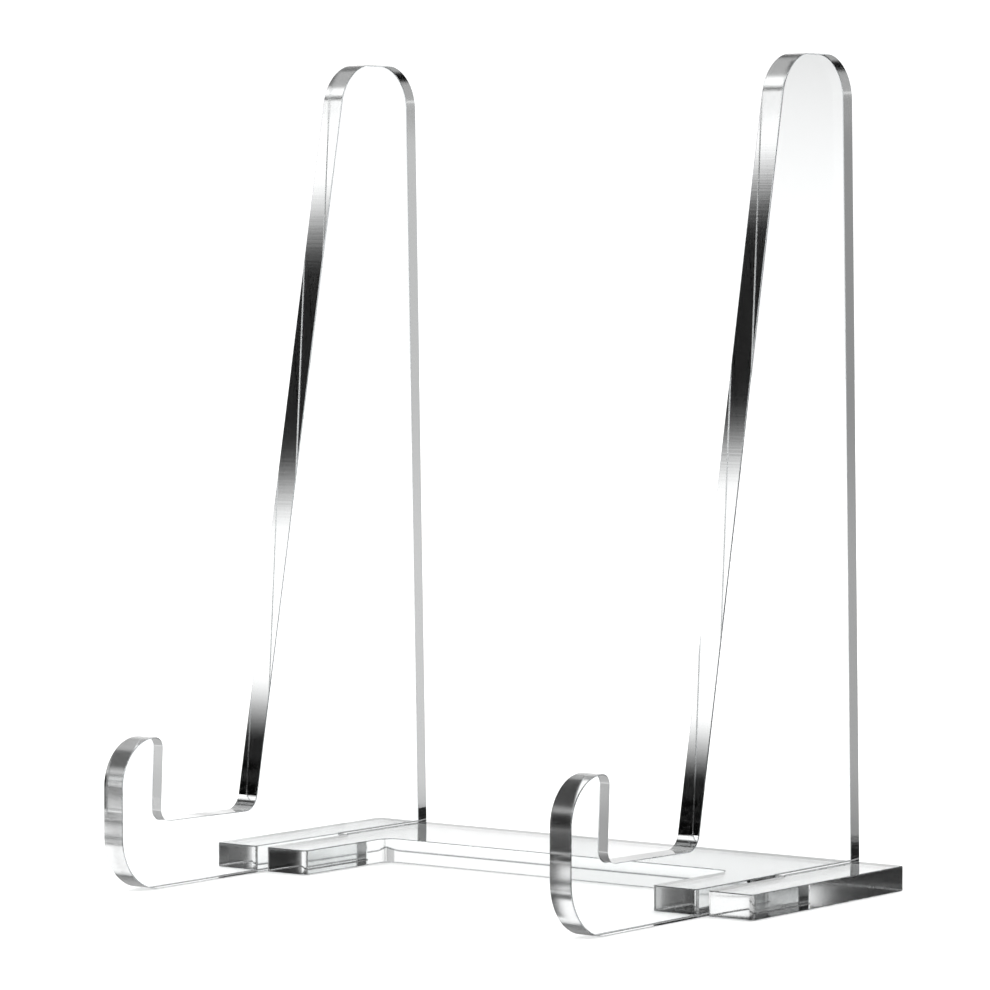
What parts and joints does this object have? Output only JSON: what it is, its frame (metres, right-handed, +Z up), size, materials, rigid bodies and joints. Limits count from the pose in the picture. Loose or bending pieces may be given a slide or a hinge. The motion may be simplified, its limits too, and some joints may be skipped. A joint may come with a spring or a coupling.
{
  "type": "plate display stand",
  "caption": "Clear knock-down plate easel: two slotted uprights with curled front hooks drop onto a U-shaped base plate and hold a plate leaning back.",
  "frame": {"origin": "on the resting surface, under the middle of the stand's footprint", "axes": "+Z up, -Y towards the viewer and the hooks, +X to the viewer's right, so the stand is mirrored across the YZ plane"},
  "size_m": [0.1362, 0.098, 0.166],
  "materials": {
    "clear_acrylic": "clear cast acrylic sheet, polished faces and polished laser-cut edges"
  },
  "bodies": {
    "base": {"base_plate": "clear_acrylic"},
    "left_stand": {"left_upright": "clear_acrylic"},
    "right_stand": {"right_upright": "clear_acrylic"}
  },
  "joints": [
    {"name": "left_upright_lift", "type": "slide", "parent": "base", "child": "left_stand", "axis": [0, 0, 1], "range_m": [0, 0.04]},
    {"name": "right_upright_lift", "type": "slide", "parent": "base", "child": "right_stand", "axis": [0, 0, 1], "range_m": [0, 0.04]}
  ]
}
